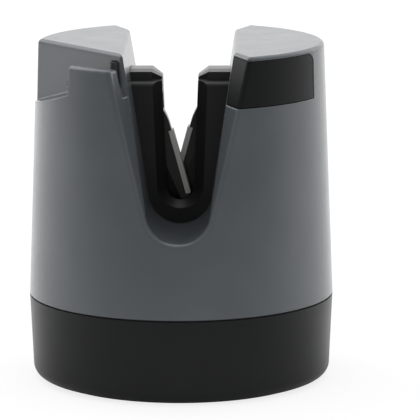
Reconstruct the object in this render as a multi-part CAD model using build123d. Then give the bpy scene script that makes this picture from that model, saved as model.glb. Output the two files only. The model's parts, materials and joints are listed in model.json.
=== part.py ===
"""Drum-shaped pull-through knife sharpener, one solid or group of screws in each part file.

Lengths are in millimetres. The origin is the middle of the foot's underside, +Z is up,
the knife is drawn along Y through the slot, and the front is -Y.
"""
import math
import os

from build123d import *

os.makedirs("parts", exist_ok=True)

# Drum form
drum_height = 88.9
seam_height = 22.2
seam_diameter = 80.0
top_step = 2.5
base_step = 1.0
base_corner = 3.0
cap_round = 1.1
rim_round = 1.1
narrow_round_shares = (1.0, 0.7, 0.4)

# Body shell
shell_wall = 2.2
roof_wall = 2.4
seam_groove_height = 0.4
seam_groove_depth = 0.8

# Knife slot through the body
slot_half_angle = 8.6
slot_floor = 42.0
slot_floor_radius = 8.25
flare_half_angle = 15.9
flare_start = 22.0
flare_start_radius = 0.8
flare_start_rise = 0.9
flare_end_margin = 0.5
flare_end_radius = 10.2
flare_end_drop = 0.2

# Scissor notch in the left cap
notch_azimuth = -53.5
notch_inset = 9.5
notch_depth = 10.6
gap_depth = 8.4
ledge_width = 0.6
column_front = 27.3
column_round = 0.5
ramp_start_y = -25.4
ramp_rise_x_share = 0.32
ramp_rise_y_share = -0.085
tab_azimuth = -36.0
tab_inset = 4.6
tab_drop = 3.4
tab_left_x = -28.0
tab_round = 0.9
rod_radius = 1.4
rod_groove_gap = 0.15
rod_x = -16.05
rod_drop = 2.1
rod_socket_depth = 3.0

# Grip panel in the right cap
panel_azimuth = 25.9
panel_inset = 10.0
panel_side_inset = 13.2
panel_depth = 12.9
panel_lip = 1.0
panel_corner = 2.5
panel_wall = 2.0
panel_gap = 0.25
peg_radius = 1.5
peg_reach = 3.4
peg_low_side = 7.0
peg_high_side = 17.0

# Base
base_wall = 2.6
base_floor = 2.4
foot_stand = 0.6
foot_thickness = 1.8
foot_inset = 3.8
spigot_wall = 1.8
spigot_height = 3.4
spigot_root = 4.0
spigot_gap = 0.2
base_screw_inset = 9.5
base_screw_count = 4
base_post_radius = 4.4
base_post_gap = 0.2
base_head_height = 10.0
boss_radius = 3.6
boss_height = 16.0
rib_width = 2.0

# Mechanism housing
housing_half_width = 19.0
housing_half_depth = 8.5
housing_bottom = 23.5
housing_top = 81.5
head_half_depth = 6.0
head_step = 79.3
step_round = 1.9
housing_corner = 2.5
housing_gap = 0.15
mouth_half_angle = 2.3
mouth_floor = 47.8
mouth_radius = 3.55
mouth_chamfer = 2.5
mouth_chamfer_floor = 46.0
head_corner_width = 2.6
head_corner_height = 1.6
pocket_depth = 5.2
pocket_corner = 0.8
ear_half_width = 13.0
ear_reach = 19.0
ear_top = 34.0
ear_thickness = 2.5
ear_hole_x = 9.0
ear_hole_y = 14.5
trough_boss_radius = 3.0
trough_boss_top = 52.0
joint_screw_x = 15.8
joint_screw_low = 34.0
joint_screw_high = 52.0

# Sharpening arms
arm_tilt = 15.2
pivot_x = 5.9
pivot_height = 35.0
arm_back = 0.7
arm_thickness = 4.0
arm_edge = 0.2
arm_swing = 8.0
lobe_radius = 3.9
nose_height = 42.0
nose_start = 33.5
nose_drop = 2.6
shoulder_height = 36.0
shoulder_width = 5.6
waist_height = 12.0
waist_width = 2.0
tail_half_width = 1.7
tail_length = 8.6
carbide_width = 1.3
carbide_start = 14.8
carbide_end = 32.0
carbide_stand = 0.2
carbide_gap = 0.02

# Divider plate between the arms
divider_half_width = 13.2
divider_low = 40.5
divider_high = 62.0
divider_half_thickness = 0.4
divider_gap = 0.05
divider_notch_floor = 50.5
divider_notch_radius = 1.2
divider_notch_half_angle = 17.0

# Pivot pins, bushes, springs and stops
pin_radius = 1.5
pin_half_length = 7.6
pin_gap = 0.02
bush_radius = 2.2
bush_clearance = 0.05
bush_stand = 0.15
spring_radius = 1.9
spring_wire = 0.5
spring_drop = 6.8
spring_end = 14.4
spring_gap = 0.2
chamber_left = 1.9
chamber_right = 11.0
chamber_floor = 25.3
chamber_top = 38.5
stop_radius = 1.7
stop_root = 0.3
stop_gap = 0.15

# Screws
screw_radius = 1.4
screw_clearance = 0.2
screw_pilot_gap = 0.05
head_radius = 2.75
head_thickness = 2.0
head_gap = 0.25
base_screw_length = 18.0
ear_screw_length = 11.0
joint_screw_length = 13.0
joint_head_radius = 2.4
joint_head_thickness = 1.6

# Overrun of every cut past the material that it leaves, and how near an edge lies to its place
overrun = 2.0
place_tolerance = 0.05

# Radii and distances that follow the drum's width
seam_radius = seam_diameter / 2
top_radius = seam_radius - top_step
base_radius = seam_radius - base_step
drum_taper = top_step / (drum_height - seam_height)
flare_end = seam_radius + flare_end_margin
notch_distance = top_radius - notch_inset
tab_distance = top_radius - tab_inset
panel_distance = top_radius - panel_inset
panel_side = top_radius - panel_side_inset
foot_radius = base_radius - foot_inset
base_screw_place = seam_radius - base_screw_inset

# Heights that follow the caps' top
notch_floor = drum_height - notch_depth
gap_floor = drum_height - gap_depth
ramp_low = notch_floor - 2 * notch_depth
tab_height = drum_height - tab_drop
rod_top = drum_height - rod_drop
panel_low = drum_height - panel_depth
panel_high = drum_height - panel_lip

# Arms and the box that every half-space is cut from
arm_mid = arm_back + arm_thickness / 2
spring_height = pivot_height - spring_drop
reach = seam_diameter

# Pieces stand on their places
upright = (Align.CENTER, Align.CENTER, Align.MIN)


def drum_radius(height):
    """Outer radius of the body at a height."""
    return seam_radius - (height - seam_height) * drum_taper


def slot_face(radius, floor, half_angle, top, y):
    """V with a round bottom, open to the top, on the plane across the knife's path at y."""
    lean = math.radians(half_angle)
    centre = floor + radius
    foot_x = radius * math.cos(lean)
    foot_z = centre - radius * math.sin(lean)
    top_x = radius / math.cos(lean) + (top - centre) * math.tan(lean)
    walls = Polyline((foot_x, foot_z), (top_x, top), (-top_x, top), (-foot_x, foot_z))
    bottom = ThreePointArc((-foot_x, foot_z), (0, floor), (foot_x, foot_z))
    return Plane.XZ.offset(-y) * make_face(walls + bottom)


def middle_space(grow):
    """Space of the knife slot between its flares, grown on its walls and floor."""
    top = drum_height + overrun
    middle = slot_face(slot_floor_radius + grow, slot_floor - grow, slot_half_angle, top, 0)
    return extrude(middle, amount=seam_radius - overrun, both=True)


def flare_space(side, grow):
    """Space of the slot's flared end on one side, -1 in front and 1 behind, grown like the slot."""
    top = drum_height + overrun
    inner = slot_face(flare_start_radius + grow, slot_floor + flare_start_rise - grow,
                      flare_half_angle, top, side * flare_start)
    outer = slot_face(flare_end_radius + grow, slot_floor - flare_end_drop - grow,
                      flare_half_angle, top, side * flare_end)
    return loft([inner, outer], ruled=True)


def slot_space(grow):
    """Space of the whole knife slot with both flared ends."""
    return middle_space(grow) + flare_space(-1, grow) + flare_space(1, grow)


def beyond(azimuth, distance, low, high):
    """Block further from the axis than a distance, towards an azimuth counted from the front."""
    turn = math.radians(azimuth)
    plane = Plane(origin=(0, 0, low), x_dir=(math.sin(turn), -math.cos(turn), 0), z_dir=(0, 0, 1))
    block = Box(reach, 2 * reach, high - low, align=(Align.MIN, Align.CENTER, Align.MIN))
    return plane * Pos(distance, 0, 0) * block


def beyond_soft(azimuth, distance, low):
    """The same block up past the caps, which leaves a rounded edge on the cap that it cuts."""
    turn = math.radians(azimuth)
    top = drum_height
    corner = distance - cap_round
    slope = cap_round * math.sqrt(0.5)
    walls = Polyline((distance, top - cap_round), (distance, low), (reach, low),
                     (reach, top + overrun), (corner, top + overrun), (corner, top))
    arc = ThreePointArc((corner, top), (corner + slope, top - cap_round + slope),
                        (distance, top - cap_round))
    plane = Plane(origin=(0, 0, 0), x_dir=(math.sin(turn), -math.cos(turn), 0),
                  z_dir=(-math.cos(turn), -math.sin(turn), 0))
    return extrude(plane * make_face(walls + arc), amount=reach, both=True)


def front_left(low):
    """Quarter of space in front and on the left, above a height."""
    return Pos(0, 0, low) * Box(reach, reach, reach, align=(Align.MAX, Align.MAX, Align.MIN))


def rod(x, y, low, high, radius):
    """Upright round bar."""
    return Pos(x, y, low) * Cylinder(radius, high - low, align=upright)


def cross_rod(x, z, front, back, radius):
    """Round bar along Y from front to back."""
    bar = Cylinder(radius, back - front, align=upright)
    return Plane(origin=(x, front, z), z_dir=(0, 1, 0)) * bar


def side_rod(y, z, left, right, radius):
    """Round bar along X from left to right."""
    bar = Cylinder(radius, right - left, align=upright)
    return Plane(origin=(left, y, z), z_dir=(1, 0, 0)) * bar


def half_turn(part):
    """The same piece on the other side, turned half round the drum's axis."""
    return Rot(0, 0, 180) * part


def over_ramp(grow):
    """Space left of the tab and above the ramp that leads down from the notch's floor."""
    ramp = Plane(origin=(tab_left_x, ramp_start_y, notch_floor - grow),
                 x_dir=(1, 0, ramp_rise_x_share), z_dir=(-ramp_rise_x_share, -ramp_rise_y_share, 1))
    return ramp * Pos(grow, 0, 0) * Box(reach, 2 * reach, reach, align=(Align.MAX, Align.CENTER, Align.MIN))


def tab_block():
    """Block that keeps the tab of outer wall standing in front of the notch."""
    block = beyond(tab_azimuth, tab_distance, ramp_low, tab_height)
    right_side = Box(reach, 2 * reach, 2 * reach, align=(Align.MIN, Align.CENTER, Align.MIN))
    return block & (Pos(tab_left_x, 0, 0) * right_side)


def notch_space():
    """Space cut beside the left cap: above a floor behind the tab, and above the ramp left of it."""
    above_floor = beyond_soft(notch_azimuth, notch_distance, gap_floor)
    above_ramp = beyond_soft(notch_azimuth, notch_distance, ramp_low) & over_ramp(0)
    left_side = Box(reach, 2 * reach, 2 * reach, align=(Align.MAX, Align.CENTER, Align.MIN))
    return ((above_floor + above_ramp) & left_side) - tab_block()


def notch_room(grow):
    """Plain space around the notch, which the body's wall goes round."""
    high = drum_height + overrun
    distance = notch_distance - grow
    above_floor = beyond(notch_azimuth, distance, gap_floor - grow, high)
    above_ramp = beyond(notch_azimuth, distance, ramp_low, high) & over_ramp(grow)
    left_side = Box(reach, 2 * reach, 2 * reach, align=(Align.MAX, Align.CENTER, Align.MIN))
    return (above_floor + above_ramp) & left_side


def on_rim(edge):
    """Whether an edge lies where the flare meets the drum."""
    middle = edge.position_at(0.5)
    stand = math.hypot(middle.X, middle.Y) - drum_radius(middle.Z)
    curved = edge.geom_type == GeomType.BSPLINE
    return curved and abs(stand) < place_tolerance and middle.Z < drum_height - rim_round


def at_height(height):
    """Test for edges that lie level at a height."""
    def level(edge):
        return all(abs(edge.position_at(part).Z - height) < place_tolerance for part in (0, 0.5, 1))
    return level


def on_column_corner(edge):
    """Whether an edge is the upright corner of the column between the notch and the slot."""
    middle = edge.position_at(0.5)
    run = edge.position_at(1) - edge.position_at(0)
    on_front = abs(middle.Y + column_front) < place_tolerance
    upright_edge = abs(run.Z) > cap_round and abs(run.X) < place_tolerance
    return on_front and upright_edge and middle.Z > gap_floor


def rounded(form, wanted, radius):
    """Form with its wanted edges rounded, by a share of the radius where it leaves less room."""
    for share in narrow_round_shares:
        try:
            return fillet(form.edges().filter_by(wanted), radius * share)
        except ValueError:
            continue
    return form


def body_form():
    """Tapered drum above the seam, cut by the slot and the notch, with its edges rounded."""
    outline = Polyline((0, seam_height), (seam_radius, seam_height),
                       (top_radius, drum_height), (0, drum_height), close=True)
    drum = revolve(Plane.XZ * make_face(outline), Axis.Z)
    by_notch = front_left(notch_floor) - beyond(notch_azimuth, notch_distance, 0, 2 * reach)
    in_front = Pos(0, -column_front, 0) * Box(reach, reach, 2 * reach,
                                              align=(Align.MAX, Align.MAX, Align.MIN))
    column = by_notch - in_front

    form = drum - middle_space(0) - flare_space(1, 0) - (flare_space(-1, 0) - by_notch)
    form = rounded(form, on_rim, rim_round)
    form = rounded(form, at_height(drum_height), cap_round)
    ledge = (flare_space(-1, ledge_width) & front_left(notch_floor)) - tab_block() - column
    form = form - notch_space() - (by_notch & in_front) - ledge
    form = rounded(form, on_column_corner, column_round)
    return rounded(form, at_height(tab_height), tab_round)


# Form shared by the body and the grip panel
drum_form = body_form()


def panel_block(back, side, low, high, corner):
    """Block behind the grip panel's outline, with its far top corner rounded."""
    turn = math.radians(panel_azimuth)
    out = (math.sin(turn), -math.cos(turn), 0)
    along = (math.cos(turn), math.sin(turn), 0)
    plane = Plane(origin=(0, 0, 0), x_dir=along, z_dir=out)
    left = -panel_distance
    face = make_face(Polyline((left, low), (side, low), (side, high), (left, high), close=True))
    top_corner = face.vertices().sort_by(Axis.X)[-2:].sort_by(Axis.Y)[-1]
    face = fillet(top_corner, corner)
    block = extrude(plane.offset(back) * face, amount=reach)
    right_side = Box(reach, 2 * reach, 2 * reach, align=(Align.MIN, Align.CENTER, Align.MIN))
    return block & right_side


def base_screw_places():
    """Screw places under the body, between the slot's ends and its sides."""
    half_step = 360 / base_screw_count / 2
    return PolarLocations(base_screw_place, base_screw_count, start_angle=half_step)


def ear_screw_places():
    """Screw places in the housing's ears."""
    return GridLocations(2 * ear_hole_x, 2 * ear_hole_y, 2, 2)


def joint_screw_places():
    """Places of the screws that join the housing halves, as x and z."""
    return [(x, z) for x in (-joint_screw_x, joint_screw_x) for z in (joint_screw_low, joint_screw_high)]


def housing_envelope(grow):
    """Outer block of both housing halves, with the thinner head."""
    low_block = Pos(0, 0, housing_bottom - grow) * Box(
        2 * (housing_half_width + grow), 2 * (housing_half_depth + grow),
        head_step - housing_bottom + 2 * grow, align=upright)
    head = Pos(0, 0, housing_bottom - grow) * Box(
        2 * (housing_half_width + grow), 2 * (head_half_depth + grow),
        housing_top - housing_bottom + 2 * grow, align=upright)
    return low_block + head


def notch_rod_place():
    """Place of the scissor rod on the notch's flat face."""
    turn = math.radians(notch_azimuth)
    y = -(notch_distance - rod_x * math.sin(turn)) / math.cos(turn)
    return rod_x, y


def body_shell():
    """Body moulding with both caps, the knife slot's walls and the screw bosses."""
    inside = Polyline((0, seam_height - overrun),
                      (drum_radius(seam_height - overrun) - shell_wall, seam_height - overrun),
                      (drum_radius(drum_height - roof_wall) - shell_wall, drum_height - roof_wall),
                      (0, drum_height - roof_wall), close=True)
    hollow = revolve(Plane.XZ * make_face(inside), Axis.Z)
    hollow -= slot_space(shell_wall)
    hollow -= notch_room(shell_wall)
    rod_place_x, rod_place_y = notch_rod_place()
    groove_radius = rod_radius + rod_groove_gap
    socket_floor = gap_floor - rod_socket_depth
    hollow -= rod(rod_place_x, rod_place_y, socket_floor - shell_wall, drum_height,
                  groove_radius + shell_wall)
    hollow -= panel_block(panel_distance - shell_wall, panel_side + shell_wall,
                          panel_low - shell_wall, panel_high + shell_wall, panel_corner)
    body = drum_form - hollow

    boss_low = seam_height + base_post_gap
    pilot = screw_radius + screw_pilot_gap
    for place in base_screw_places():
        boss = Pos(0, 0, boss_low) * Cylinder(boss_radius, boss_height, align=upright)
        rib_length = drum_radius(boss_low + boss_height) - base_screw_place
        rib = Pos(0, 0, boss_low + spigot_height) * Box(rib_length, rib_width, boss_height - spigot_height,
                                                     align=(Align.MIN, Align.CENTER, Align.MIN))
        hole = Pos(0, 0, boss_low) * Cylinder(pilot, base_screw_length)
        body += place * (boss + rib)
        body -= place * hole
    for place in ear_screw_places():
        boss = Pos(0, 0, ear_top) * Cylinder(trough_boss_radius, trough_boss_top - ear_top, align=upright)
        hole = Pos(0, 0, ear_top) * Cylinder(pilot, 2 * ear_screw_length)
        body += place * boss - middle_space(0)
        body -= place * hole

    body -= housing_envelope(housing_gap)
    body -= rod(rod_place_x, rod_place_y, gap_floor, rod_top + rod_groove_gap, groove_radius)
    body -= rod(rod_place_x, rod_place_y, socket_floor, rod_top, rod_radius + pin_gap)
    body -= panel_block(panel_distance, panel_side, panel_low, panel_high, panel_corner)
    for side in (peg_low_side, peg_high_side):
        body -= panel_peg(side, peg_radius + pin_gap + screw_pilot_gap)
    groove = Cylinder(reach, seam_groove_height, align=upright)
    groove -= Cylinder(seam_radius - seam_groove_depth, seam_groove_height,
                       align=upright)
    body -= Pos(0, 0, seam_height) * groove
    return body


def panel_peg(side, radius):
    """Locating peg of the grip panel, square to the pocket's back wall."""
    turn = math.radians(panel_azimuth)
    out = (math.sin(turn), -math.cos(turn), 0)
    along = (math.cos(turn), math.sin(turn), 0)
    height = (panel_low + panel_high) / 2
    plane = Plane(origin=(0, 0, 0), x_dir=along, z_dir=out).offset(panel_distance - peg_reach)
    skin = math.sqrt((drum_radius(height) - panel_wall / 2) ** 2 - side ** 2)
    length = peg_reach + skin - panel_distance
    return plane * Pos(side, height, 0) * Cylinder(radius, length, align=upright)


def grip_panel():
    """Black panel that fills the pocket in the right cap, flush with the drum and the flare."""
    low = panel_low + panel_gap
    high = panel_high - panel_gap / 2
    side = panel_side - panel_gap
    panel = drum_form & panel_block(panel_distance + panel_gap / 2, side, low, high, panel_corner)
    core_outline = Polyline((0, low), (drum_radius(low) - panel_wall, low),
                            (drum_radius(high) - panel_wall, high), (0, high), close=True)
    core = revolve(Plane.XZ * make_face(core_outline), Axis.Z)
    core &= panel_block(0, side - panel_wall, low + panel_wall, high - panel_wall, panel_corner)
    core -= slot_space(panel_wall)
    panel -= core
    for peg_side in (peg_low_side, peg_high_side):
        panel += panel_peg(peg_side, peg_radius)
    return panel


def base_housing():
    """Black base cup with its spigot, screw posts and the recess for the foot."""
    outline = Polyline((0, foot_stand), (base_radius, foot_stand), (seam_radius, seam_height),
                       (0, seam_height), close=True)
    face = make_face(outline)
    corner = face.vertices().sort_by(Axis.Y)[:2].sort_by(Axis.X)[-1]
    solid = revolve(Plane.XZ * fillet(corner, base_corner), Axis.Z)

    floor = foot_stand + base_floor
    inside = Polyline((0, floor), (base_radius - base_wall, floor),
                      (seam_radius - base_wall, seam_height), (0, seam_height), close=True)
    inside_face = make_face(inside)
    inside_corner = inside_face.vertices().sort_by(Axis.Y)[:2].sort_by(Axis.X)[-1]
    base = solid - revolve(Plane.XZ * fillet(inside_corner, base_corner / 2), Axis.Z)

    spigot_radius = seam_radius - shell_wall - spigot_gap
    ring_height = spigot_root + spigot_height
    ring = Cylinder(spigot_radius, ring_height, align=upright)
    ring -= Cylinder(spigot_radius - spigot_wall, ring_height, align=upright)
    base += Pos(0, 0, seam_height - spigot_root) * ring
    for place in base_screw_places():
        post = Pos(0, 0, foot_stand) * Cylinder(base_post_radius, seam_height - foot_stand,
                                                align=upright)
        relief = Pos(0, 0, seam_height) * Cylinder(boss_radius + 2 * spigot_gap, reach,
                                                   align=upright)
        hole = Cylinder(screw_radius + screw_clearance, reach, align=upright)
        bore_top = base_head_height + head_thickness
        bore = Cylinder(head_radius + head_gap, bore_top, align=upright)
        base += place * post
        base -= place * (relief + hole + bore)
    base -= Cylinder(foot_radius + spigot_gap, foot_thickness, align=upright)
    return base


def rubber_foot():
    """Non-slip disc under the base, which covers the screw heads."""
    foot = Cylinder(foot_radius, foot_thickness, align=upright)
    edge = foot.faces().sort_by(Axis.Z)[0].edges()
    return chamfer(edge, foot_stand / 2)


def screw(length, radius, cap_radius, cap_thickness):
    """Pan-head screw pointing up, with the underside of its head at zero."""
    head = Pos(0, 0, -cap_thickness) * Cylinder(cap_radius, cap_thickness,
                                                align=upright)
    head = chamfer(head.faces().sort_by(Axis.Z)[0].edges(), cap_thickness / 4)
    shank = Cylinder(radius, length, align=upright)
    return head + chamfer(shank.faces().sort_by(Axis.Z)[-1].edges(), radius / 2)


def base_screws():
    """Four screws that hold the base to the body."""
    one = screw(base_screw_length, screw_radius, head_radius, head_thickness)
    seat = base_head_height + head_thickness
    return [place * Pos(0, 0, seat) * one for place in base_screw_places()]


def ear_screws():
    """Four screws that hold the housing's ears under the slot's troughs."""
    one = screw(ear_screw_length, screw_radius, head_radius, head_thickness)
    return [place * Pos(0, 0, ear_top - ear_thickness) * one for place in ear_screw_places()]


def joint_screws():
    """Four screws that join the housing halves, driven from the rear."""
    one = screw(joint_screw_length, screw_radius, joint_head_radius, joint_head_thickness)
    seat = housing_half_depth - joint_head_thickness
    return [Plane(origin=(x, seat, z), z_dir=(0, -1, 0)) * one for x, z in joint_screw_places()]


def arm_point(across, along, swing=0):
    """Point of the front arm at a place across and along it, as x and z."""
    lean = math.radians(arm_tilt + swing)
    x = pivot_x + across * math.cos(lean) - along * math.sin(lean)
    z = pivot_height + across * math.sin(lean) + along * math.cos(lean)
    return x, z


def pocket_face():
    """Outline of the space in the front half where the front arm hangs and swings."""
    edge = carbide_width / 2 + pocket_corner
    foot = arm_point(edge, waist_height)
    shoulder = arm_point(-shoulder_width - pocket_corner, shoulder_height, arm_swing)
    waist = arm_point(-waist_width - pocket_corner, waist_height, arm_swing)
    top_left = arm_point(-shoulder_width - pocket_corner, nose_height - nose_drop, arm_swing)
    roof = arm_point(arm_edge - nose_drop, nose_height)[1] + pocket_corner
    mouth_x = mouth_radius - pocket_corner
    points = [
        (chamber_left, chamber_floor),
        (chamber_right, chamber_floor),
        (chamber_right, chamber_top),
        foot,
        (mouth_x, (mouth_floor + housing_top) / 2),
        (-mouth_x, roof),
        (top_left[0], roof),
        top_left,
        shoulder,
        waist,
        (chamber_left, pivot_height + lobe_radius),
    ]
    face = make_face(Polyline(*points, close=True))
    return Plane.XZ * fillet(face.vertices(), pocket_corner)


def mouth_bevel(half_depth, top):
    """Bevel of the mouth where it opens in a face at a distance from the middle plane."""
    back = slot_face(mouth_radius, mouth_floor, mouth_half_angle, top, mouth_chamfer - half_depth)
    front = slot_face(mouth_radius + mouth_chamfer, mouth_chamfer_floor, mouth_half_angle, top, -half_depth)
    return loft([back, front], ruled=True)


def housing_front():
    """Front half of the mechanism housing, with the pocket that holds the front arm."""
    half = housing_envelope(0)
    step_edges = half.edges().filter_by(Axis.X).filter_by_position(
        Axis.Z, head_step - housing_gap, head_step + housing_gap)
    outer_edges = step_edges.filter_by(lambda e: abs(e.center().Y) > head_half_depth + housing_gap)
    half = fillet(outer_edges, step_round)
    half &= Box(2 * reach, reach, 2 * reach, align=(Align.CENTER, Align.MAX, Align.MIN))

    ear = Box(2 * ear_half_width, ear_reach, ear_thickness, align=(Align.CENTER, Align.MAX, Align.MAX))
    ear = fillet(ear.edges().filter_by(Axis.Z).sort_by(Axis.Y)[:2], housing_corner)
    half += Pos(0, 0, ear_top) * ear

    top = housing_top + overrun
    mouth = extrude(slot_face(mouth_radius, mouth_floor, mouth_half_angle, top, 0), amount=ear_reach)
    above_step = Pos(0, 0, head_step) * Box(reach, reach, reach, align=upright)
    head_bevel = mouth_bevel(head_half_depth, top) & above_step
    lean = math.radians(mouth_half_angle)
    mouth_top = mouth_radius / math.cos(lean) + (housing_top - mouth_floor - mouth_radius) * math.tan(lean)
    corner = Polyline((0, housing_top - head_corner_height), (mouth_top, housing_top - head_corner_height),
                      (mouth_top + head_corner_width, housing_top), (mouth_top + head_corner_width, top),
                      (0, top), close=True)
    corner_cut = extrude(Plane.XZ * make_face(corner), amount=ear_reach)
    half -= mouth + mouth_bevel(housing_half_depth, top) + head_bevel
    half -= corner_cut + mirror(corner_cut, Plane.YZ)

    half -= extrude(pocket_face(), amount=pocket_depth)
    half -= divider_plate(divider_gap)
    for x in (-pivot_x, pivot_x):
        half -= cross_rod(x, pivot_height, -pin_half_length - pin_gap, overrun, pin_radius + pin_gap)
    spring_bore = spring_radius + spring_gap
    stop_bore = stop_radius + pin_gap
    half -= side_rod(-arm_mid, spring_height, chamber_right - overrun, spring_end + pin_gap, spring_bore)
    half -= side_rod(-arm_mid, spring_height, stop_root - pin_gap, chamber_left + overrun, stop_bore)
    for place in ear_screw_places():
        hole = Cylinder(screw_radius + screw_clearance, reach, align=upright)
        half -= place * hole
    return half


def divider_plate(grow):
    """Plate between the arms, notched below the knife's path and held in both halves."""
    width = 2 * (divider_half_width + grow)
    height = divider_high - divider_low + 2 * grow
    thickness = 2 * (divider_half_thickness + grow)
    plate = Pos(0, 0, divider_low - grow) * Box(width, thickness, height,
                                                align=upright)
    notch = slot_face(divider_notch_radius, divider_notch_floor, divider_notch_half_angle,
                      divider_high + overrun, 0)
    return plate - extrude(notch, amount=overrun, both=True)


def mechanism_housing_front():
    """Front half, with blind holes for the joining screws."""
    half = housing_front()
    deepest = joint_screw_length - housing_half_depth + joint_head_thickness + screw_clearance
    for x, z in joint_screw_places():
        half -= cross_rod(x, z, -deepest, overrun, screw_radius + screw_pilot_gap)
    return half


def mechanism_housing_rear():
    """Rear half, with through holes and sunk seats for the joining screws."""
    half = half_turn(housing_front())
    seat = housing_half_depth - joint_head_thickness
    for x, z in joint_screw_places():
        half -= cross_rod(x, z, -overrun, housing_half_depth + overrun, screw_radius + screw_clearance)
        half -= cross_rod(x, z, seat, housing_half_depth + overrun, joint_head_radius + head_gap)
    return half


def front_arm():
    """Sharpening arm: pivot lobe with a tail for the spring, and a leaning blade with a curved nose."""
    edge = arm_edge
    right = [arm_point(edge, 0), arm_point(edge, nose_start)]
    nose_mid = arm_point(edge - nose_drop / 4, (nose_start + nose_height) / 2)
    nose_end = arm_point(edge - nose_drop, nose_height)
    top_left = arm_point(-shoulder_width, nose_height - nose_drop)
    left = [top_left, arm_point(-shoulder_width, shoulder_height),
            arm_point(-waist_width, waist_height), arm_point(-waist_width, 0)]
    outline = Line(*right)
    outline += ThreePointArc(right[-1], nose_mid, nose_end)
    crown_mid = arm_point(-shoulder_width + nose_drop / 3, nose_height - nose_drop / 4)
    outline += ThreePointArc(nose_end, crown_mid, top_left)
    outline += Polyline(*left)
    outline += Line(left[-1], right[0])
    blade = make_face(outline)
    lobe = Pos(pivot_x, pivot_height) * Circle(lobe_radius)
    tail = Rectangle(2 * tail_half_width, tail_length, align=(Align.CENTER, Align.MAX))
    tail = Pos(pivot_x, pivot_height) * tail
    profile = blade + lobe + tail
    arm = extrude(Plane.XZ.offset(arm_back) * profile, amount=arm_thickness)
    arm -= carbide_bar(carbide_gap)
    arm -= cross_rod(pivot_x, pivot_height, -reach, 0, bush_radius + pin_gap)
    return arm


def carbide_bar(grow):
    """Carbide strip on the arm's outer face and inner edge, grown where it fills its rebate."""
    corners = [arm_point(-carbide_width / 2 - grow, carbide_start - grow),
               arm_point(carbide_width / 2 + grow, carbide_start - grow),
               arm_point(carbide_width / 2 + grow, carbide_end + grow),
               arm_point(-carbide_width / 2 - grow, carbide_end + grow)]
    face = make_face(Polyline(*corners, close=True))
    depth = arm_thickness + carbide_stand
    return extrude(Plane.XZ.offset(arm_back - grow) * face, amount=depth + grow)


def front_arm_bush():
    """Bush pressed into the arm, which turns on the pivot pin."""
    front = -arm_back - arm_thickness - bush_stand
    back = -arm_back + bush_stand
    return (cross_rod(pivot_x, pivot_height, front, back, bush_radius)
            - cross_rod(pivot_x, pivot_height, front, back, pin_radius + bush_clearance))


def front_arm_pin():
    """Steel pivot pin held at both ends in the housing."""
    return cross_rod(pivot_x, pivot_height, -pin_half_length, pin_half_length, pin_radius)


def front_arm_spring():
    """Compression spring between the arm's tail and its seat in the housing."""
    near = pivot_x + tail_half_width + stop_gap
    coil = side_rod(-arm_mid, spring_height, near, spring_end, spring_radius)
    return coil - side_rod(-arm_mid, spring_height, near, spring_end, spring_radius - spring_wire)


def front_arm_stop():
    """Rubber stop that the arm's tail rests on."""
    return side_rod(-arm_mid, spring_height, stop_root, pivot_x - tail_half_width - stop_gap, stop_radius)


def scissor_rod():
    """Ceramic rod that stands in the groove of the scissor notch."""
    x, y = notch_rod_place()
    return rod(x, y, gap_floor - rod_socket_depth, rod_top, rod_radius)


def save(name, part):
    """Write one node's solid, or its group of solids."""
    solids = part if isinstance(part, list) else [part]
    shapes = [solid for piece in solids for solid in piece.solids()]
    shape = shapes[0] if len(shapes) == 1 else Compound(children=shapes)
    export_step(shape, f"parts/{name}.step")


save("body_shell", body_shell())
save("grip_panel", grip_panel())
save("base_housing", base_housing())
save("rubber_foot", rubber_foot())
save("base_screws", base_screws())
save("mechanism_housing_front", mechanism_housing_front())
save("mechanism_housing_rear", mechanism_housing_rear())
save("mechanism_housing_screws", joint_screws())
save("mechanism_mounting_screws", ear_screws())
save("arm_divider", divider_plate(0))
save("scissor_rod", scissor_rod())
for name, piece in [("arm", front_arm()), ("arm_carbide", carbide_bar(0)), ("arm_bush", front_arm_bush()),
                    ("arm_pin", front_arm_pin()), ("arm_spring", front_arm_spring()),
                    ("arm_stop", front_arm_stop())]:
    save(f"front_{name}", piece)
    save(f"rear_{name}", half_turn(piece))
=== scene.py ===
"""Looks of the drum-shaped knife sharpener: its finishes, its small fittings and a plain studio.

Everything is in metres, in the part's own frame: +Z up, the slot runs along Y, the front is -Y.
"""
import json
import math

import bmesh
import bpy
from mathutils import Matrix, Vector


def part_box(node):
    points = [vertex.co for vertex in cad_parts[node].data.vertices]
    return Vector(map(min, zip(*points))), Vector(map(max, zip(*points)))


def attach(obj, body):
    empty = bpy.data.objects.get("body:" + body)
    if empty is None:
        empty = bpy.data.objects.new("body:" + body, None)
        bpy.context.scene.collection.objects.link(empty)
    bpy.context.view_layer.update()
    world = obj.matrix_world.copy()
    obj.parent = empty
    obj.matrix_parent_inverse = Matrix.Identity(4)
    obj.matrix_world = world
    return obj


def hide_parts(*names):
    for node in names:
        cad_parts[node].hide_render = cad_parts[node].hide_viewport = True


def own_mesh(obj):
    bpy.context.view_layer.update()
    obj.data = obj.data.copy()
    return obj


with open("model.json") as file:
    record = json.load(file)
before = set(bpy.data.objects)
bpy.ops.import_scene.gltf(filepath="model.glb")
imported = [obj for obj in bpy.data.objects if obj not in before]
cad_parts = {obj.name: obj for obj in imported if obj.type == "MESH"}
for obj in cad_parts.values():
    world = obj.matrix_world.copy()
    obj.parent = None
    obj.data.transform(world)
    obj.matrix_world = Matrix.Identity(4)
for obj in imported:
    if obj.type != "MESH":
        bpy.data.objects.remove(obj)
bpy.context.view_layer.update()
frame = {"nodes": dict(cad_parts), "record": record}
nodes = frame["nodes"]

MM = 0.001
WHITE = (1.0, 1.0, 1.0, 1.0)

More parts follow.
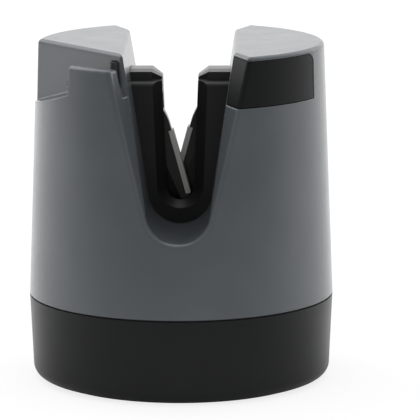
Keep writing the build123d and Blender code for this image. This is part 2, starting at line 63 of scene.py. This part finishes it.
# Camera, fitted to the drum's ellipses in the 420 by 420 photograph
CAMERA_PLACE = (20.57 * MM, -906.58 * MM, 209.45 * MM)
CAMERA_TARGET = (7.63 * MM, 0.17 * MM, 43.88 * MM)
CAMERA_ROLL = -0.12
PHOTO_WIDTH = 420
FOCAL_PIXELS = 3497.6
SENSOR = 36.0
NEAREST_SEEN = 0.05
FARTHEST_SEEN = 20.0

# Textures: features in a metre
FLOW_SCALE = 60
BLOOM_SCALE = 90
RUBBED_SCALE = 140
GROUND_SCALE = 900
PLASTIC_GRAIN_SCALE = 3800
FINE_GRAIN_SCALE = 5200

# Textures: heights
FLOW_HEIGHT = 0.01 * MM
GROUND_HEIGHT = 0.006 * MM
RUBBER_HEIGHT = 0.01 * MM
CERAMIC_HEIGHT = 0.012 * MM

# Textures: share by which a colour gets darker and lighter
PLASTIC_MOTTLE = 0.06
GROUND_MOTTLE = 0.16
RUBBER_MOTTLE = 0.25
CERAMIC_MOTTLE = 0.1

# Textures: how far the roughness goes from its middle value, or its lowest and highest value
RUBBED_SPREAD = 0.04
GROUND_SMOOTHER = 0.06
GROUND_ROUGHER = 0.08
RUBBER_ROUGHNESS = (0.62, 0.78)
CERAMIC_ROUGHNESS = (0.42, 0.55)

# Ground lines: how much finer they are along X, Y and Z
STRIP_LINES = (6.0, 1.0, 0.25)
TURNED_LINES = (1.0, 6.0, 1.0)
SPRING_LINES = (1.0, 1.0, 1.0)
SCREW_LINES = (1.0, 1.0, 3.0)

# All fittings: edges sharper than this angle stay sharp, and points closer than this are one
SHARP_ANGLE = math.radians(35)
MERGE_DISTANCE = MM / 1000

# Arm springs: round wire, one closed turn at each end and open turns between
WIRE_RADIUS = 0.25 * MM
WIRE_SIDES = 10
CLOSED_PITCH = 0.52 * MM
OPEN_TURNS = 4.5
STEPS_PER_TURN = 24

# Screws: length below the head, then the head's radius and height
BASE_SCREW = (18 * MM, 2.75 * MM, 2 * MM)
EAR_SCREW = (11 * MM, 2.75 * MM, 2 * MM)
JOINT_SCREW = (13 * MM, 2.4 * MM, 1.6 * MM)

# Screws: outline of a pan head from its flat top to its underside, as shares of radius and height
HEAD_SHARES = ((0.66, 1.0), (0.86, 0.86), (0.97, 0.6), (1.0, 0.3), (1.0, 0.0))
HEAD_SIDES = 28

# Screws: a cross recess, made of five of the nine squares of a grid, and narrower at its bottom
CROSS_SQUARES = 3
CROSS_REACH = 1.25 * MM
CROSS_DEPTH_SHARE = 0.62
CROSS_TAPER_SHARE = 0.72

# Screws: a coarse thread for plastic, wound as a ridge of three sides round a core with a blunt tip
SCREW_RADIUS = 1.4 * MM
THREAD_DEPTH = 0.35 * MM
THREAD_PITCH = 1.1 * MM
THREAD_STEPS = 16
RIDGE_SIDES = 3
TIP_LENGTH = 1.8 * MM
TIP_SHARE = 0.35

# Screws: where the undersides of their heads sit
BASE_SCREW_PLACE = 21.567 * MM
BASE_SCREW_SEAT = 12.0 * MM
EAR_SCREW_X = 9.0 * MM
EAR_SCREW_Y = 14.5 * MM
EAR_SCREW_SEAT = 31.5 * MM
JOINT_SCREW_X = 15.8 * MM
JOINT_SCREW_SEAT = 6.9 * MM
JOINT_SCREW_HEIGHTS = (34.0 * MM, 52.0 * MM)

# Foot: rings sunk into the underside, so that it grips the table
FOOT_EDGE = 0.35 * MM
RING_COUNT = 9
RING_DEPTH = 0.5 * MM
RING_HALF_WIDTH = 0.7 * MM
RING_WALL = 0.25 * MM
FOOT_STEPS = 96

# Studio: how bright the room is to gloss behind and in front of the object, and to soft light
ROOM_BACK = 0.98
ROOM_FRONT = 0.2
ROOM_LIGHT = 1.0

# Studio: between which directions along Y the room goes from dim to bright
ROOM_DIM_Y = -0.75
ROOM_BRIGHT_Y = 0.35

# Floor: pale beside and behind the object; in front of it, where the camera stands, painted shade makes it
# dimmer in gloss and bounced light
FLOOR_REACH = 3.0
FLOOR_FRONT = 0.3
FLOOR_BACK = 1.0
FLOOR_DIM_Y = -0.28
FLOOR_PALE_Y = 0.08
FLOOR_SEEN = (0.95, 0.95, 0.95, 1.0)
FLOOR_GLOW_SHARE = 0.8

# Lamps: the middle of the object, which they all point at
LAMP_TARGET = (0, 0, 0.045)


# Finishes

class Finish:
    """A material and its node tree, with short ways to add and link nodes."""

    def __init__(self, name):
        self.material = bpy.data.materials.new(name)
        self.material.use_nodes = True
        self.tree = self.material.node_tree
        self.shader = self.tree.nodes["Principled BSDF"]
        self.place = self.add("ShaderNodeTexCoord").outputs["Object"]

    def add(self, kind, **values):
        node = self.tree.nodes.new(kind)
        for key, value in values.items():
            setattr(node, key, value)
        return node

    def link(self, source, target):
        self.tree.links.new(source, target)

    def noise(self, scale, detail=2.0, roughness=0.5, lines=None):
        """Noise on the piece's own place, in features per metre, finer along some axes if asked."""
        node = self.add("ShaderNodeTexNoise")
        node.inputs["Scale"].default_value = scale
        node.inputs["Detail"].default_value = detail
        node.inputs["Roughness"].default_value = roughness
        source = self.place
        if lines:
            mapping = self.add("ShaderNodeMapping")
            mapping.inputs["Scale"].default_value = lines
            self.link(source, mapping.inputs["Vector"])
            source = mapping.outputs["Vector"]
        self.link(source, node.inputs["Vector"])
        return node.outputs["Fac"]

    def ramp(self, source, *stops):
        """Colour ramp between two stops, each a place from 0 to 1 and a colour."""
        node = self.add("ShaderNodeValToRGB")
        for element, (place, colour) in zip(node.color_ramp.elements, stops):
            element.position = place
            element.color = (*colour, 1.0)
        self.link(source, node.inputs["Fac"])
        return node.outputs["Color"]

    def spread(self, source, low, high):
        """Map a value from 0..1 to low..high."""
        node = self.add("ShaderNodeMapRange")
        node.inputs["To Min"].default_value = low
        node.inputs["To Max"].default_value = high
        self.link(source, node.inputs["Value"])
        return node.outputs["Result"]

    def bump(self, source, depth, base=None):
        """Height of a texture in metres, on top of another bump if given."""
        node = self.add("ShaderNodeBump")
        node.inputs["Strength"].default_value = 1.0
        node.inputs["Distance"].default_value = depth
        self.link(source, node.inputs["Height"])
        if base:
            self.link(base, node.inputs["Normal"])
        return node.outputs["Normal"]

    def soft_edge(self, radius):
        """Sharp edges that catch light as if rounded."""
        node = self.add("ShaderNodeBevel", samples=6)
        node.inputs["Radius"].default_value = radius
        return node.outputs["Normal"]

    def wire(self, **sockets):
        """Link outputs to the shader's sockets by their names, with _ for a space."""
        for key, source in sockets.items():
            self.link(source, self.shader.inputs[key.replace("_", " ")])

    def set(self, **sockets):
        """Give the shader's sockets plain values by their names, with _ for a space."""
        for key, value in sockets.items():
            self.shader.inputs[key.replace("_", " ")].default_value = value


def shades(colour, amount):
    """Two shades of a colour, a bit darker and a bit lighter."""
    return [tuple(max(0.0, part * (1 + sign * amount)) for part in colour) for sign in (-1, 1)]


def moulded_plastic(name, colour, roughness, shine=0.5, grain=0.003 * MM, edge=0.25 * MM):
    """Moulded plastic: broken edges, a fine spark-eroded grain, flow shading and rubbed patches."""
    finish = Finish(name)
    dark, light = shades(colour, PLASTIC_MOTTLE)
    flow = finish.noise(FLOW_SCALE, detail=3)
    finish.wire(Base_Color=finish.ramp(flow, (0.3, dark), (0.7, light)))
    rubbed = finish.noise(RUBBED_SCALE, detail=4, roughness=0.6)
    finish.wire(Roughness=finish.spread(rubbed, roughness - RUBBED_SPREAD, roughness + RUBBED_SPREAD))
    grain_map = finish.noise(PLASTIC_GRAIN_SCALE, detail=2)
    waves = finish.bump(flow, FLOW_HEIGHT, finish.soft_edge(edge))
    finish.wire(Normal=finish.bump(grain_map, grain, waves))
    finish.set(Specular_IOR_Level=shine)
    return finish.material


def ground_metal(name, colour, roughness, lines, metallic=1.0):
    """Ground metal: fine lines that run along its least fine axis, and duller patches."""
    finish = Finish(name)
    ground = finish.noise(GROUND_SCALE, detail=5, roughness=0.7, lines=lines)
    dark, light = shades(colour, GROUND_MOTTLE)
    finish.wire(Base_Color=finish.ramp(ground, (0.3, dark), (0.7, light)))
    finish.wire(Roughness=finish.spread(ground, roughness - GROUND_SMOOTHER, roughness + GROUND_ROUGHER))
    finish.wire(Normal=finish.bump(ground, GROUND_HEIGHT))
    finish.set(Metallic=metallic)
    return finish.material


def rubber(name, colour):
    """Matt moulded rubber with a fine grain and a dusty bloom."""
    finish = Finish(name)
    dark, light = shades(colour, RUBBER_MOTTLE)
    bloom = finish.noise(BLOOM_SCALE, detail=5, roughness=0.65)
    finish.wire(Base_Color=finish.ramp(bloom, (0.35, dark), (0.7, light)))
    finish.wire(Roughness=finish.spread(bloom, *RUBBER_ROUGHNESS))
    finish.wire(Normal=finish.bump(finish.noise(FINE_GRAIN_SCALE, detail=2), RUBBER_HEIGHT))
    return finish.material


def fired_ceramic(name, colour):
    """Fired ceramic with a fine open grain."""
    finish = Finish(name)
    dark, light = shades(colour, CERAMIC_MOTTLE)
    speckle = finish.noise(FINE_GRAIN_SCALE, detail=3, roughness=0.7)
    finish.wire(Base_Color=finish.ramp(speckle, (0.35, dark), (0.65, light)))
    finish.wire(Roughness=finish.spread(speckle, *CERAMIC_ROUGHNESS))
    finish.wire(Normal=finish.bump(speckle, CERAMIC_HEIGHT))
    return finish.material


FINISHES = {
    "body_grey": moulded_plastic("body_grey", (0.070, 0.079, 0.087), 0.24, grain=0.0012 * MM, edge=0.8 * MM),
    "panel_black": moulded_plastic("panel_black", (0.009, 0.0095, 0.010), 0.42, shine=0.12),
    "base_black": moulded_plastic("base_black", (0.010, 0.0105, 0.011), 0.34, shine=0.14),
    "housing_black": moulded_plastic("housing_black", (0.008, 0.008, 0.0085), 0.28, shine=0.4),
    "arm_black": moulded_plastic("arm_black", (0.011, 0.011, 0.0095), 0.32, shine=0.4),
    "divider_black": moulded_plastic("divider_black", (0.008, 0.008, 0.009), 0.4, shine=0.4),
    "foot_rubber": rubber("foot_rubber", (0.018, 0.018, 0.018)),
    "stop_rubber": rubber("stop_rubber", (0.022, 0.022, 0.022)),
    "strip_carbide": ground_metal("strip_carbide", (0.55, 0.54, 0.525), 0.5, STRIP_LINES, metallic=0.6),
    "bush_brass": ground_metal("bush_brass", (0.60, 0.42, 0.17), 0.28, TURNED_LINES),
    "pin_steel": ground_metal("pin_steel", (0.55, 0.55, 0.56), 0.22, TURNED_LINES),
    "spring_steel": ground_metal("spring_steel", (0.42, 0.42, 0.43), 0.3, SPRING_LINES),
    "screw_steel": ground_metal("screw_steel", (0.56, 0.56, 0.58), 0.26, SCREW_LINES),
    "rod_ceramic": fired_ceramic("rod_ceramic", (0.030, 0.028, 0.027)),
}

for part in frame["record"]["subparts"]:
    node = nodes[part["node"]]
    node.data.materials.clear()
    node.data.materials.append(FINISHES[part["material_slot"]])

# The housing's front half has a coarser grain than its rear half
MATT_HOUSING = moulded_plastic("housing_black_matt", (0.010, 0.010, 0.0105), 0.42,
                               shine=0.4, grain=0.02 * MM)
nodes["mechanism_housing_front"].data.materials[0] = MATT_HOUSING


# Small fittings, in fuller detail than their plain nodes

def fitting(name, shape, finish, node):
    """Turn a finished shape into a smooth piece that stands for a node of the body."""
    bmesh.ops.remove_doubles(shape, verts=shape.verts, dist=MERGE_DISTANCE)
    bmesh.ops.recalc_face_normals(shape, faces=shape.faces)
    mesh = bpy.data.meshes.new(name)
    shape.to_mesh(mesh)
    shape.free()
    mesh.shade_smooth()
    mesh.set_sharp_from_angle(angle=SHARP_ANGLE)
    mesh.materials.append(FINISHES[finish])
    piece = bpy.data.objects.new(name, mesh)
    bpy.context.scene.collection.objects.link(piece)
    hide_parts(node)
    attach(piece, "body")
    return piece


def edges_of(parts):
    return [part for part in parts if isinstance(part, bmesh.types.BMEdge)]


def verts_of(parts):
    return [part for part in parts if isinstance(part, bmesh.types.BMVert)]


def arm_spring(node):
    """Compression spring wound along X, with one closed turn at each end and open turns between."""
    low, high = [Vector(corner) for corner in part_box(node)]
    centre = (low + high) / 2
    coil_radius = (high.z - low.z) / 2 - WIRE_RADIUS
    free = high.x - low.x - 2 * WIRE_RADIUS - 2 * CLOSED_PITCH
    coil = bmesh.new()
    wire = bmesh.ops.create_circle(coil, radius=WIRE_RADIUS, segments=WIRE_SIDES)["verts"]
    bmesh.ops.rotate(coil, verts=wire, cent=(0, 0, 0), matrix=Matrix.Rotation(math.pi / 2, 3, "X"))
    bmesh.ops.translate(coil, verts=wire, vec=(low.x + WIRE_RADIUS, centre.y, centre.z + coil_radius))
    end = coil.edges[:]
    for turns, pitch in ((1, CLOSED_PITCH), (OPEN_TURNS, free / OPEN_TURNS), (1, CLOSED_PITCH)):
        wound = bmesh.ops.spin(coil, geom=end, cent=(0, centre.y, centre.z), axis=(1, 0, 0),
                               dvec=(pitch / STEPS_PER_TURN, 0, 0), angle=math.tau * turns,
                               steps=round(turns * STEPS_PER_TURN))
        end = edges_of(wound["geom_last"])
    bmesh.ops.holes_fill(coil, edges=coil.edges[:], sides=0)
    piece = fitting(node + "_coil", coil, "spring_steel", node)
    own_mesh(piece)


def cross_recess(head, level, depth):
    """Tapered cross that opens at a level and is sunk upwards; gives the edges of its mouth."""
    bottom_reach = CROSS_REACH * CROSS_TAPER_SHARE
    bmesh.ops.create_grid(head, x_segments=CROSS_SQUARES, y_segments=CROSS_SQUARES, size=bottom_reach)
    half_square = bottom_reach / CROSS_SQUARES
    corners = [face for face in head.faces
               if min(abs(place) for place in face.calc_center_median()[:2]) > half_square]
    bmesh.ops.delete(head, geom=corners, context="FACES")
    bmesh.ops.translate(head, verts=head.verts[:], vec=(0, 0, level + depth))
    bottom = [edge for edge in head.edges if edge.is_boundary]
    walls = bmesh.ops.extrude_edge_only(head, edges=bottom)["geom"]
    mouth = verts_of(walls)
    wider = 1 / CROSS_TAPER_SHARE
    bmesh.ops.scale(head, verts=mouth, vec=(wider, wider, 1))
    bmesh.ops.translate(head, verts=mouth, vec=(0, 0, -depth))
    return [edge for edge in edges_of(walls) if edge.is_boundary]


def screw(length, head_radius, head_height):
    """Pan-head screw pointing up, with the underside of its head at zero."""
    shape = bmesh.new()
    core = SCREW_RADIUS - THREAD_DEPTH
    outline = [(reach * head_radius, -rise * head_height) for reach, rise in HEAD_SHARES]
    outline += [(core, 0), (core, length - TIP_LENGTH), (TIP_SHARE * core, length)]
    mouth = cross_recess(shape, -head_height, CROSS_DEPTH_SHARE * head_height)
    top = bmesh.ops.create_circle(shape, radius=outline[0][0], segments=HEAD_SIDES)["verts"]
    bmesh.ops.translate(shape, verts=top, vec=(0, 0, -head_height))
    rim = [edge for edge in shape.edges if edge.is_wire]
    bmesh.ops.triangle_fill(shape, edges=rim + mouth, use_beauty=True)
    for (radius, height), (next_radius, next_height) in zip(outline, outline[1:]):
        drawn = bmesh.ops.extrude_edge_only(shape, edges=rim)["geom"]
        rim = [edge for edge in edges_of(drawn) if edge.is_boundary]
        ring = verts_of(drawn)
        share = next_radius / radius
        bmesh.ops.scale(shape, verts=ring, vec=(share, share, 1))
        bmesh.ops.translate(shape, verts=ring, vec=(0, 0, next_height - height))
    bmesh.ops.holes_fill(shape, edges=rim, sides=0)
    turns = (length - 2 * TIP_LENGTH) / THREAD_PITCH
    ridge = bmesh.ops.create_circle(shape, radius=THREAD_DEPTH, segments=RIDGE_SIDES)["verts"]
    bmesh.ops.rotate(shape, verts=ridge, cent=(0, 0, 0), matrix=Matrix.Rotation(-math.pi / 2, 3, "Z"))
    bmesh.ops.rotate(shape, verts=ridge, cent=(0, 0, 0), matrix=Matrix.Rotation(math.pi / 2, 3, "X"))
    bmesh.ops.translate(shape, verts=ridge, vec=(core, 0, TIP_LENGTH / 2))
    start = [edge for edge in shape.edges if edge.is_wire]
    bmesh.ops.spin(shape, geom=start, cent=(0, 0, 0), axis=(0, 0, 1), angle=math.tau * turns,
                   dvec=(0, 0, THREAD_PITCH / THREAD_STEPS), steps=round(turns * THREAD_STEPS))
    bmesh.ops.holes_fill(shape, edges=shape.edges[:], sides=0)
    return shape


def screws(node, places, size):
    """Screws of one size, one at each place."""
    group = bmesh.new()
    for place in places:
        one = screw(*size)
        bmesh.ops.transform(one, matrix=place, verts=one.verts)
        loose = bpy.data.meshes.new("screw")
        one.to_mesh(loose)
        one.free()
        group.from_mesh(loose)
        bpy.data.meshes.remove(loose)
    fitting(node + "_cut", group, "screw_steel", node)


def four_corners(x, y, z):
    """Upright places at plus and minus x and y, at one height."""
    return [Matrix.Translation((side * x, end * y, z)) for side in (-1, 1) for end in (-1, 1)]


def foot():
    """Rubber disc with a broken lower edge and rings in its underside."""
    low, high = [Vector(corner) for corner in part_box("rubber_foot")]
    radius = high.x
    outline = [(0, high.z), (radius, high.z), (radius, low.z + FOOT_EDGE), (radius - FOOT_EDGE, low.z)]
    for ring in range(RING_COUNT, 0, -1):
        middle = radius * ring / (RING_COUNT + 1)
        lip = RING_HALF_WIDTH + RING_WALL
        outline += [(middle + lip, low.z), (middle + RING_HALF_WIDTH, low.z + RING_DEPTH),
                    (middle - RING_HALF_WIDTH, low.z + RING_DEPTH), (middle - lip, low.z)]
    outline.append((0, low.z))
    disc = bmesh.new()
    points = [disc.verts.new((x, 0, z)) for x, z in outline]
    for first, second in zip(points, points[1:]):
        disc.edges.new((first, second))
    bmesh.ops.spin(disc, geom=disc.verts[:] + disc.edges[:], cent=(0, 0, 0), axis=(0, 0, 1),
                   angle=math.tau, steps=FOOT_STEPS, use_merge=True)
    fitting("rubber_foot_ringed", disc, "foot_rubber", "rubber_foot")


arm_spring("front_arm_spring")
arm_spring("rear_arm_spring")

screws("base_screws", four_corners(BASE_SCREW_PLACE, BASE_SCREW_PLACE, BASE_SCREW_SEAT), BASE_SCREW)
screws("mechanism_mounting_screws", four_corners(EAR_SCREW_X, EAR_SCREW_Y, EAR_SCREW_SEAT), EAR_SCREW)

# The screws that join the housing's halves lie along Y, with their heads behind
laid_forward = Matrix.Rotation(math.pi / 2, 4, "X")
joint_places = [Matrix.Translation((x, JOINT_SCREW_SEAT, z)) @ laid_forward
                for x in (-JOINT_SCREW_X, JOINT_SCREW_X) for z in JOINT_SCREW_HEIGHTS]
screws("mechanism_housing_screws", joint_places, JOINT_SCREW)

foot()


# Studio

def aim(thing, target, roll=0.0):
    """Turn a camera or lamp to look at a point, then roll it about its own line of sight."""
    look = (Vector(target) - thing.location).to_track_quat("-Z", "Y")
    thing.rotation_mode = "QUATERNION"
    thing.rotation_quaternion = look @ Matrix.Rotation(math.radians(roll), 4, "Z").to_quaternion()


def camera():
    """Camera at the place from which the photograph was taken."""
    lens = bpy.data.cameras.new("camera")
    lens.sensor_width = SENSOR
    lens.lens = FOCAL_PIXELS / PHOTO_WIDTH * SENSOR
    lens.clip_start = NEAREST_SEEN
    lens.clip_end = FARTHEST_SEEN
    eye = bpy.data.objects.new("camera", lens)
    eye.location = CAMERA_PLACE
    aim(eye, CAMERA_TARGET, CAMERA_ROLL)
    bpy.context.scene.collection.objects.link(eye)
    bpy.context.scene.camera = eye


def softbox(name, place, width, height, power):
    """Rectangular lamp, in metres and watts, that points at the object."""
    lamp = bpy.data.lights.new(name, "AREA")
    lamp.shape = "RECTANGLE"
    lamp.size = width
    lamp.size_y = height
    lamp.energy = power
    box = bpy.data.objects.new(name, lamp)
    box.location = place
    aim(box, LAMP_TARGET)
    bpy.context.scene.collection.objects.link(box)


def floor():
    """Pale floor: white to the camera where no shadow falls, and a calmer grey in gloss and bounces, with
    painted shade in front of the object.
    """
    sheet = bmesh.new()
    bmesh.ops.create_grid(sheet, x_segments=1, y_segments=1, size=FLOOR_REACH)
    mesh = bpy.data.meshes.new("floor")
    sheet.to_mesh(mesh)
    sheet.free()
    ground = bpy.data.objects.new("floor", mesh)
    bpy.context.scene.collection.objects.link(ground)
    material = bpy.data.materials.new("floor_white")
    material.use_nodes = True
    tree = material.node_tree
    tree.nodes.clear()
    add = tree.nodes.new
    link = tree.links.new
    path = add("ShaderNodeLightPath")
    place = add("ShaderNodeTexCoord")
    depth = add("ShaderNodeSeparateXYZ")
    link(place.outputs["Object"], depth.inputs[0])
    # painted shade: for gloss and bounced light the floor is darker in front of the object, where the camera
    # stands
    pale = add("ShaderNodeMapRange")
    pale.interpolation_type = "SMOOTHSTEP"
    pale.inputs["From Min"].default_value = FLOOR_DIM_Y
    pale.inputs["From Max"].default_value = FLOOR_PALE_Y
    pale.inputs["To Min"].default_value = FLOOR_FRONT
    pale.inputs["To Max"].default_value = FLOOR_BACK
    link(depth.outputs["Y"], pale.inputs["Value"])
    shade = add("ShaderNodeMix")
    shade.data_type = "RGBA"
    link(pale.outputs["Result"], shade.inputs["A"])
    shade.inputs["B"].default_value = FLOOR_SEEN
    link(path.outputs["Is Camera Ray"], shade.inputs["Factor"])
    cloth = add("ShaderNodeBsdfDiffuse")
    link(shade.outputs["Result"], cloth.inputs["Color"])
    glow = add("ShaderNodeEmission")
    glow.inputs["Strength"].default_value = 1.0
    share = add("ShaderNodeMath")
    share.operation = "MULTIPLY"
    share.inputs[1].default_value = FLOOR_GLOW_SHARE
    mix = add("ShaderNodeMixShader")
    out = add("ShaderNodeOutputMaterial")
    link(path.outputs["Is Camera Ray"], share.inputs[0])
    link(share.outputs[0], mix.inputs["Fac"])
    link(cloth.outputs[0], mix.inputs[1])
    link(glow.outputs[0], mix.inputs[2])
    link(mix.outputs[0], out.inputs["Surface"])
    ground.data.materials.append(material)


def studio_world():
    """White to the camera; to gloss, a white room whose front end behind the camera is dim."""
    world = bpy.data.worlds.new("studio")
    bpy.context.scene.world = world
    world.use_nodes = True
    tree = world.node_tree
    tree.nodes.clear()
    add = tree.nodes.new
    link = tree.links.new
    path = add("ShaderNodeLightPath")
    place = add("ShaderNodeTexCoord")
    turn = add("ShaderNodeSeparateXYZ")
    link(place.outputs["Generated"], turn.inputs[0])
    depth = add("ShaderNodeMapRange")
    depth.interpolation_type = "SMOOTHSTEP"
    depth.inputs["From Min"].default_value = ROOM_DIM_Y
    depth.inputs["From Max"].default_value = ROOM_BRIGHT_Y
    depth.inputs["To Min"].default_value = ROOM_FRONT
    depth.inputs["To Max"].default_value = ROOM_BACK
    link(turn.outputs["Y"], depth.inputs["Value"])
    soft = add("ShaderNodeBackground")
    soft.inputs["Strength"].default_value = ROOM_LIGHT
    gloss = add("ShaderNodeBackground")
    link(depth.outputs["Result"], gloss.inputs["Strength"])
    white = add("ShaderNodeBackground")
    for shade in (soft, gloss, white):
        shade.inputs["Color"].default_value = WHITE
    mirrored = add("ShaderNodeMath")
    mirrored.operation = "MAXIMUM"
    link(path.outputs["Is Glossy Ray"], mirrored.inputs[0])
    link(path.outputs["Is Transmission Ray"], mirrored.inputs[1])
    first = add("ShaderNodeMixShader")
    link(mirrored.outputs[0], first.inputs["Fac"])
    link(soft.outputs[0], first.inputs[1])
    link(gloss.outputs[0], first.inputs[2])
    second = add("ShaderNodeMixShader")
    link(path.outputs["Is Camera Ray"], second.inputs["Fac"])
    link(first.outputs[0], second.inputs[1])
    link(white.outputs[0], second.inputs[2])
    out = add("ShaderNodeOutputWorld")
    link(second.outputs[0], out.inputs["Surface"])


camera()
floor()
studio_world()
softbox("left_softbox", place=(-0.65, 0.55, 0.6), width=0.5, height=0.9, power=2.5)
softbox("right_softbox", place=(0.65, 0.55, 0.6), width=0.5, height=0.9, power=1.2)
softbox("top_softbox", place=(0.0, 0.05, 0.9), width=0.7, height=0.7, power=1.5)
softbox("back_softbox", place=(0.0, 1.1, 0.32), width=1.6, height=0.6, power=1.0)
bpy.context.scene.view_settings.view_transform = "Standard"
